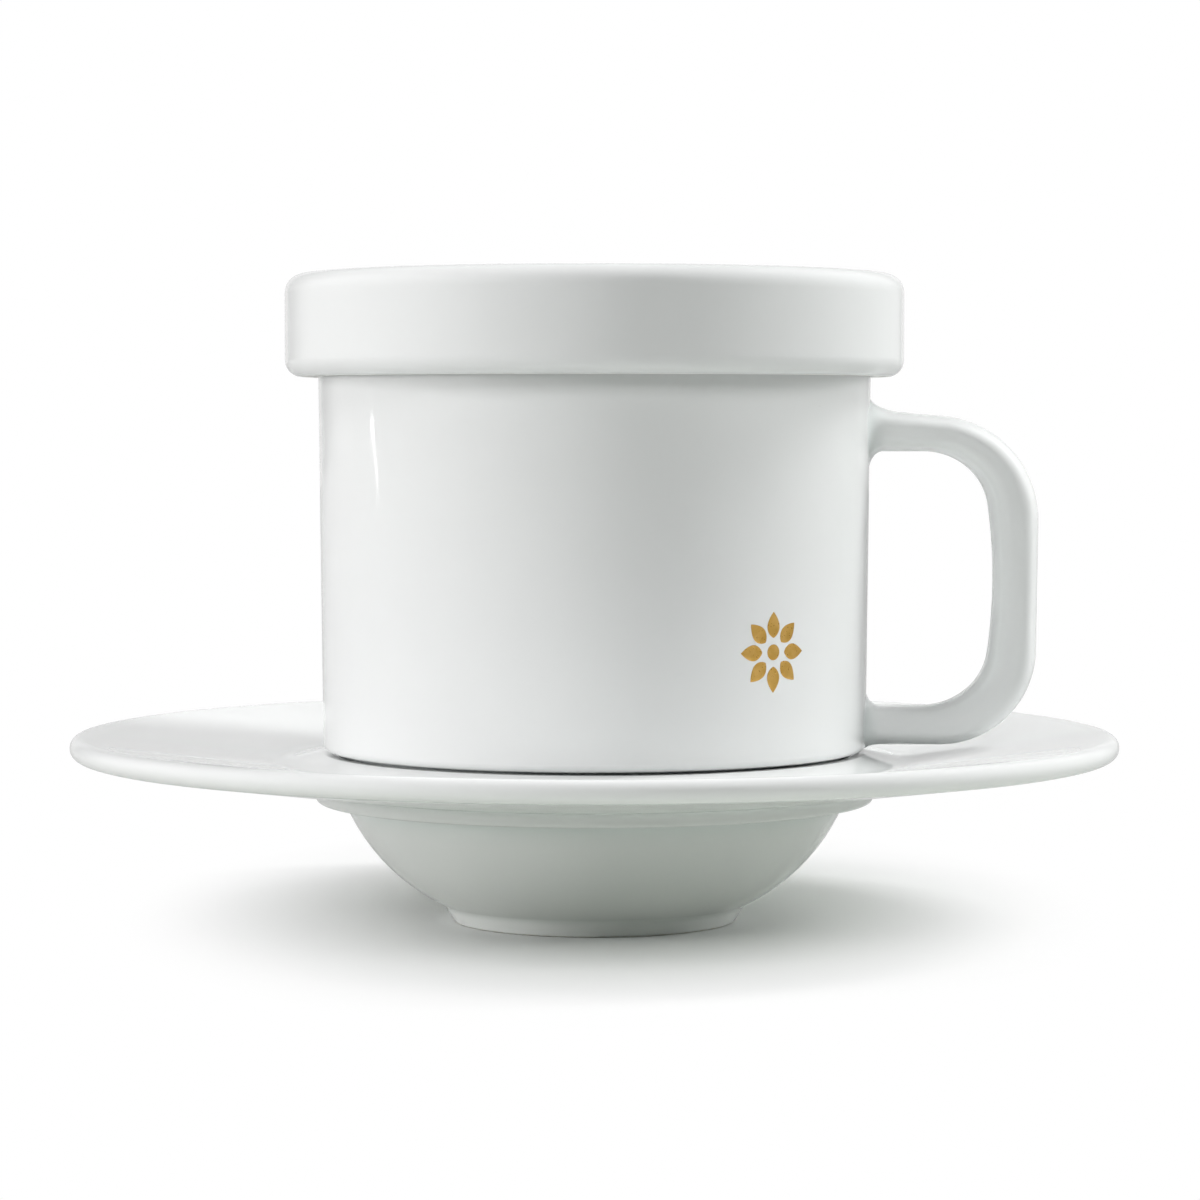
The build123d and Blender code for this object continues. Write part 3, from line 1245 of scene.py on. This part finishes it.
@dataclass(frozen=True)
class Table:
    """The pale table, which turns to plain white away from the saucer's shadow.

    Where it is seen it is white. To the light that it throws back on the porcelain it is tinted, and grey
    far from the saucer.
    """

    half_side: float = 3.0
    below: float = 0.00003
    white: Colour = (0.765, 0.777, 0.768)
    cloud: Mottle = Mottle(9.0, 2.0, 0.98, 1.0)
    gloss: float = 0.6
    bounce: Colour = (0.77, 0.81, 0.75)
    far_bounce: Colour = (0.39, 0.403, 0.39)
    near_end: float = 0.09
    far_start: float = 0.15
    shade_end: float = 0.0205
    white_start: float = 0.0745
    long_share: float = 0.606
    shade_centre: tuple[float, float] = (0.003, 0.018)

    def build(self, effects: Effects) -> Piece:
        """Lays the table as one quad just under the foot and dresses it.

        Args:
            effects: shared node groups.

        Returns:
            The table's object.
        """
        side = self.half_side
        x = np.array([-side, side, side, -side])
        y = np.array([-side, -side, side, side])
        vertices = np.stack([x, y, np.full(4, -self.below)], axis=1)
        table = put_mesh("table", vertices, np.array([[0, 1, 2, 3]]), np.zeros((0, 3), dtype=int), {})
        table.data.materials.append(self.material(effects))
        return table

    def material(self, effects: Effects) -> Material:
        """Builds the finish.

        Round the middle of the shade the table is matt and shows its shadow. Outwards, over ellipses that
        are long in Y, the matt white gives way to plain white light, which is dimmer in gloss. Other rays
        meet the tint that is thrown back, and see no light.

        Args:
            effects: shared node groups.

        Returns:
            The material.
        """
        material, nodes, place = new_material("table_white")
        x, y = self.shade_centre
        shift = (-x, -y * self.long_share, 0.0)
        long_place = nodes.add(
            "ShaderNodeMapping", Vector=place, Location=shift, Scale=(1.0, self.long_share, 1.0)
        )
        far = nodes.rise(nodes.length(long_place.outputs["Vector"]), self.shade_end, self.white_start)
        beyond = nodes.rise(nodes.length(place), self.near_end, self.far_start)
        thrown = nodes.blend(beyond, rgba(self.bounce), rgba(self.far_bounce))
        path = nodes.add("ShaderNodeLightPath").outputs
        direct = nodes.math("MAXIMUM", path["Is Camera Ray"], path["Is Transmission Ray"])
        seen = nodes.math("MAXIMUM", direct, path["Is Glossy Ray"])
        cloud = effects.mottle(nodes, place, self.cloud)
        tone = nodes.math("MULTIPLY", cloud, nodes.math("SUBTRACT", 1.0, far))
        shown = nodes.add("ShaderNodeHueSaturation", Value=tone, Color=rgba(self.white)).outputs["Color"]
        matt = nodes.add("ShaderNodeBsdfDiffuse", Color=nodes.blend(seen, thrown, shown))
        glow = nodes.math("MULTIPLY", far, nodes.mix(path["Is Glossy Ray"], seen, self.gloss))
        light = nodes.add("ShaderNodeEmission", Color=rgba(WHITE), Strength=glow)
        shader = nodes.add("ShaderNodeAddShader")
        nodes.feed(shader.inputs[0], matt.outputs["BSDF"])
        nodes.feed(shader.inputs[1], light.outputs["Emission"])
        nodes.add("ShaderNodeOutputMaterial", Surface=shader.outputs["Shader"])
        return material


@dataclass(frozen=True)
class Room:
    """The white room: plain white where it is seen, and in gloss white behind and beside the part.

    Between and in front it is grey in gloss. Elsewhere it gives a low level of light, and the lamps give
    the rest.
    """

    level: float = 0.02
    gloss: float = 0.77
    grey: float = 0.33
    back: tuple[float, float] = (0.88, 0.97)
    left: tuple[float, float] = (0.55, 0.8)
    right: tuple[float, float] = (0.25, 0.5)

    def build(self) -> None:
        """Sets up the world: gloss is white where the way out points far enough to +Y or to either side."""
        world = bpy.data.worlds.new("white_room")
        world.use_nodes = True
        world.node_tree.nodes.clear()
        nodes = Nodes(world.node_tree)
        way = nodes.add("ShaderNodeSeparateXYZ", Vector=nodes.add("ShaderNodeTexCoord").outputs["Object"])
        behind = nodes.rise(way.outputs["Y"], *self.back)
        right = nodes.rise(way.outputs["X"], *self.right)
        left = nodes.rise(nodes.math("MULTIPLY", way.outputs["X"], -1.0), *self.left)
        bright = nodes.math("MAXIMUM", behind, nodes.math("MAXIMUM", left, right))
        mirrored = nodes.mix(bright, self.grey, self.gloss)
        path = nodes.add("ShaderNodeLightPath").outputs
        soft = nodes.mix(path["Is Glossy Ray"], self.level, mirrored)
        plain = nodes.math("MAXIMUM", path["Is Camera Ray"], path["Is Transmission Ray"])
        light = nodes.add("ShaderNodeBackground", Color=rgba(WHITE), Strength=nodes.mix(plain, soft, 1.0))
        nodes.add("ShaderNodeOutputWorld", Surface=light.outputs["Background"])
        bpy.context.scene.world = world


@dataclass(frozen=True)
class SoftBox:
    """A rectangular studio lamp turned towards the cup, in or out of the gloss.

    Its azimuth is 0 on the photographer's side and grows to the right. Angles are in degrees, and the
    power is in watts.
    """

    name: str
    azimuth: float
    elevation: float
    width: float
    height: float
    power: float
    colour: Colour = WHITE
    glint: bool = False
    roll: float = 0.0
    distance: float = 1.3
    aim: Point = (0.0, 0.0, 0.05)

    def place(self) -> Vector:
        """Where the lamp hangs: the aim plus the distance along the direction of the two angles.

        Returns:
            The place.
        """
        around = math.radians(self.azimuth)
        up = math.radians(self.elevation)
        way = Vector((math.cos(up) * math.sin(around), -math.cos(up) * math.cos(around), math.sin(up)))
        return Vector(self.aim) + self.distance * way

    def build(self) -> Piece:
        """Hangs the lamp.

        Returns:
            The lamp's object.
        """
        data = bpy.data.lights.new(self.name, "AREA")
        data.shape = "RECTANGLE"
        data.size = self.width
        data.size_y = self.height
        data.energy = self.power
        data.color = self.colour
        lamp = bpy.data.objects.new(self.name, data)
        lamp.location = self.place()
        facing = (Vector(self.aim) - self.place()).to_track_quat("-Z", "Y")
        lamp.rotation_euler = (facing @ Quaternion((0.0, 0.0, 1.0), math.radians(self.roll))).to_euler()
        lamp.visible_camera = False
        lamp.visible_glossy = self.glint
        bpy.context.scene.collection.objects.link(lamp)
        return lamp


@dataclass(frozen=True)
class PhotoCamera:
    """The camera: its place, its downward pitch in radians and its focal length in the frame's pixels.

    The sensor is in Blender's millimetres.
    """

    place: Point = (0.0008, -0.557, 0.0736)
    pitch: float = 0.048
    focal_pixels: float = 3813.0
    frame_pixels: float = 1200.0
    sensor: float = 36.0
    nearest: float = 0.01
    farthest: float = 50.0

    def build(self) -> Piece:
        """Sets up the camera, looking along +Y and a little down.

        Returns:
            The camera's object.
        """
        data = bpy.data.cameras.new("photo_camera")
        data.sensor_width = self.sensor
        data.lens = self.sensor * self.focal_pixels / self.frame_pixels
        data.clip_start = self.nearest
        data.clip_end = self.farthest
        camera = bpy.data.objects.new("photo_camera", data)
        camera.location = self.place
        camera.rotation_euler = (math.pi / 2.0 - self.pitch, 0.0, 0.0)
        bpy.context.scene.collection.objects.link(camera)
        bpy.context.scene.camera = camera
        return camera


SAUCER_GLAZE = Porcelain("saucer_glaze", (0.0, 0.0, 0.0))
CUP_GLAZE = Porcelain("cup_glaze", (0.31, 0.17, 0.05))
LID_GLAZE = Porcelain("lid_glaze", (0.62, 0.41, 0.13))
# The handle wears a paler copy of the cup's glaze. Its lighter white and milk are painted light: they
# brighten the handle the way more light falling on it would.
LIT_HANDLE_GLAZE = Porcelain(
    "handle_glaze_painted_light", CUP_GLAZE.shift, white=(0.865, 0.883, 0.876), milk=(0.885, 0.901, 0.895)
)

ROSY: Colour = (1.0, 0.978, 0.988)
SOFT_BOXES = (
    SoftBox("strip_left", azimuth=-82.0, elevation=17.0, width=0.22, height=0.6, power=6.9, colour=ROSY),
    SoftBox("low_left", azimuth=-74.0, elevation=5.0, width=0.25, height=0.2, power=3.9, colour=ROSY),
    SoftBox("high_left", azimuth=-90.0, elevation=62.0, width=0.6, height=0.6, power=4.6),
    SoftBox("strip_right", azimuth=103.0, elevation=17.0, width=0.25, height=0.5, power=6.7),
    SoftBox("back_right", azimuth=130.0, elevation=22.0, width=0.25, height=0.5, power=1.8),
    SoftBox("upper_right", azimuth=111.0, elevation=50.0, width=0.3, height=0.5, power=9.4),
    SoftBox("box_front", azimuth=4.0, elevation=34.0, width=0.8, height=0.5, power=5.0),
    SoftBox("box_over", azimuth=90.0, elevation=84.0, width=0.8, height=0.8, power=2.2),
    SoftBox(
        "slit_left",
        azimuth=-100.7,
        elevation=-0.27,
        width=0.062,
        height=0.0055,
        power=0.01,
        glint=True,
        roll=-24.0,
        distance=1.0,
    ),
    SoftBox(
        "slit_top",
        azimuth=-102.5,
        elevation=0.4,
        width=0.043,
        height=0.0061,
        power=0.0077,
        glint=True,
        distance=1.0,
    ),
)


def settle(piece: Piece, material: Material, body: Body, slot: Slot, *nodes: str) -> None:
    """Dresses a piece, lets it ride on its body and stand for its solids.

    Args:
        piece: the new piece.
        material: its finish.
        body: the body that it rides on.
        slot: the record's material slot; not used.
        nodes: solids that it stands for.
    """
    piece.data.materials.append(material)
    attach(piece, body.value)
    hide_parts(*nodes)
    LOG.info("%s: %d vertices, on %s", piece.name, len(piece.data.vertices), body.value)


def main() -> None:
    """Builds the pieces, their finishes, the studio and the camera."""
    logging.basicConfig(level=logging.INFO, format="%(name)s: %(message)s")
    bpy.context.scene.view_settings.view_transform = "Standard"
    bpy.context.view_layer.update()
    saucer_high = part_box("saucer")[1]
    cup_low, cup_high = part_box("cup_body")
    lid_low, lid_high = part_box("lid")
    handle_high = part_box("cup_handle")[1]
    effects = Effects(mottle_group(), speck_group())

    saucer = Saucer(saucer_high.x, saucer_high.z)
    cup = Cup(cup_low.z, cup_high.z)
    lid = Lid(lid_high.x, lid_low.z, lid_high.z, cup_high.z)
    handle = Handle(cup, handle_high.x)
    rosette = Rosette(cup)
    settle(saucer.build(), SAUCER_GLAZE.material(effects), Body.SAUCER, Slot.PORCELAIN, "saucer")
    settle(cup.build(), CUP_GLAZE.material(effects), Body.CUP, Slot.PORCELAIN, "cup_body")
    settle(handle.build(), LIT_HANDLE_GLAZE.material(effects), Body.CUP, Slot.PORCELAIN, "cup_handle")
    settle(lid.build(), LID_GLAZE.material(effects), Body.LID, Slot.PORCELAIN, "lid")
    settle(rosette.build(), Gilding().material(effects), Body.CUP, Slot.GILDING, "gilt_rosette")

    Table().build(effects)
    Room().build()
    for box in SOFT_BOXES:
        box.build()
    PhotoCamera().build()


if __name__ == "__main__":
    main()
